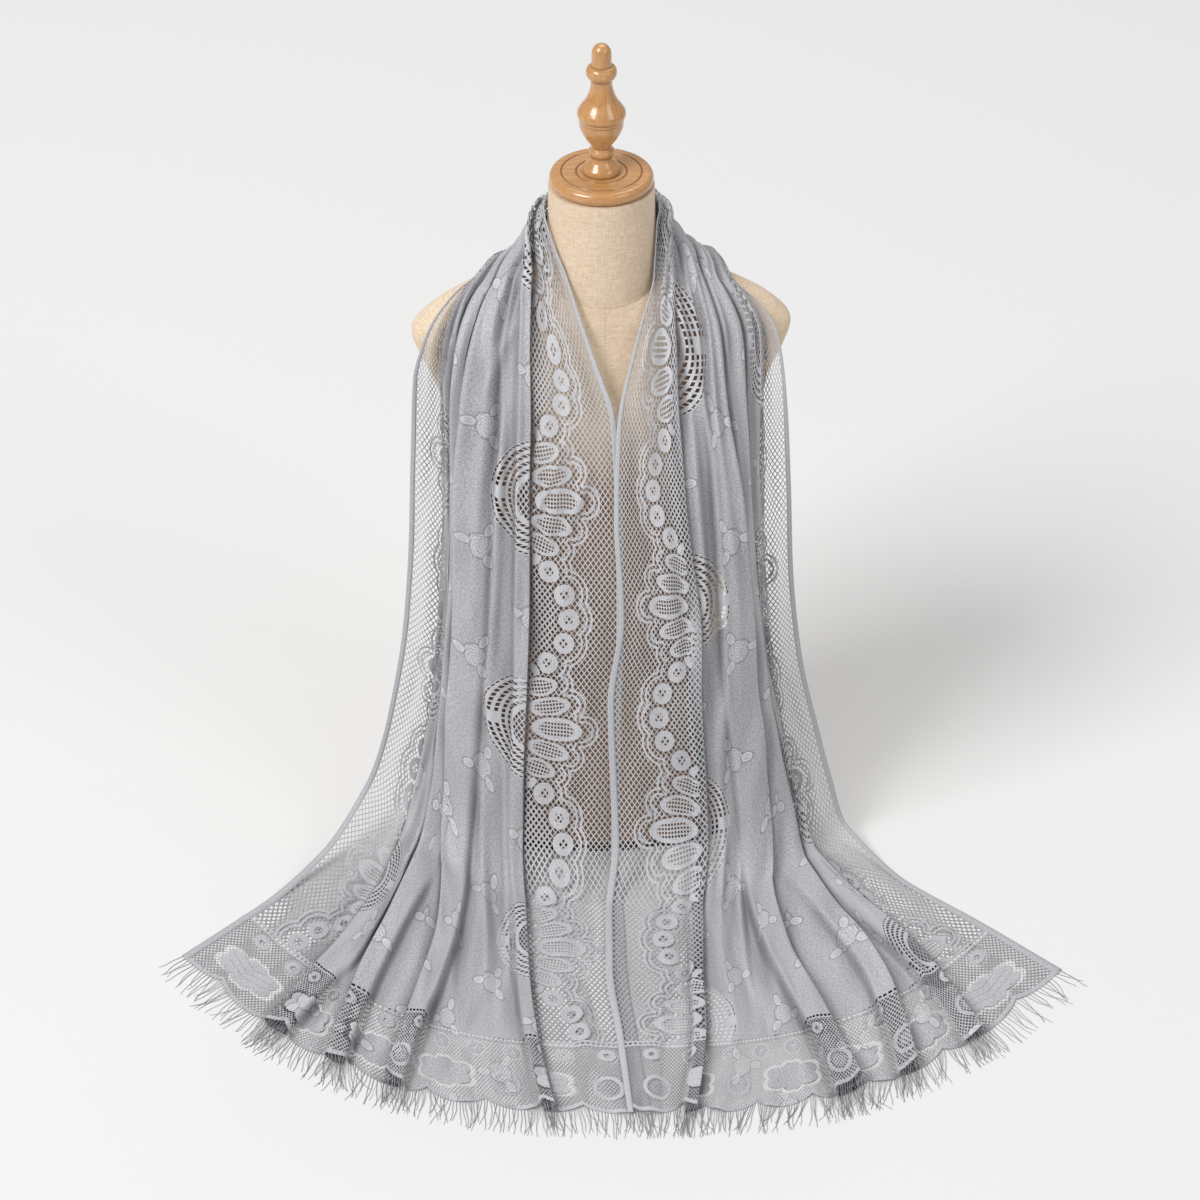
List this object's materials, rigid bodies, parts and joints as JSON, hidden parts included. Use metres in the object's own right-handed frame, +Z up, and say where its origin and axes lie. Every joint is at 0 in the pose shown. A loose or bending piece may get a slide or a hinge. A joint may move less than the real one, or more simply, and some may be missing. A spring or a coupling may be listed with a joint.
{
  "type": "lace shawl hijab on a limbless half-body dress form",
  "caption": "Long fringed lace shawl worn round the neck of a cream half-body dress form with a turned wooden knob, its two ends fanned out on the surface in front.",
  "frame": {"origin": "on the surface that the form stands on, under the axis of its neck", "axes": "+Z up, the front of the form and the ends of the shawl towards -Y, +X to the viewer's right"},
  "size_m": [0.9153, 0.6655, 0.8703],
  "materials": {
    "lace": "grey jacquard lace with a soft satin sheen, open net along its edges",
    "fringe": "thin loose grey threads",
    "linen": "matte cream plain-weave linen",
    "wood": "glossy honey-coloured lacquer over fine grain"
  },
  "bodies": {
    "root": {"shawl_back_neck": "lace", "shawl_left": "lace", "shawl_right": "lace", "fringe_left": "fringe", "fringe_right": "fringe", "form_torso": "linen", "form_neck": "linen", "form_cap": "wood", "form_finial": "wood"}
  },
  "joints": []
}
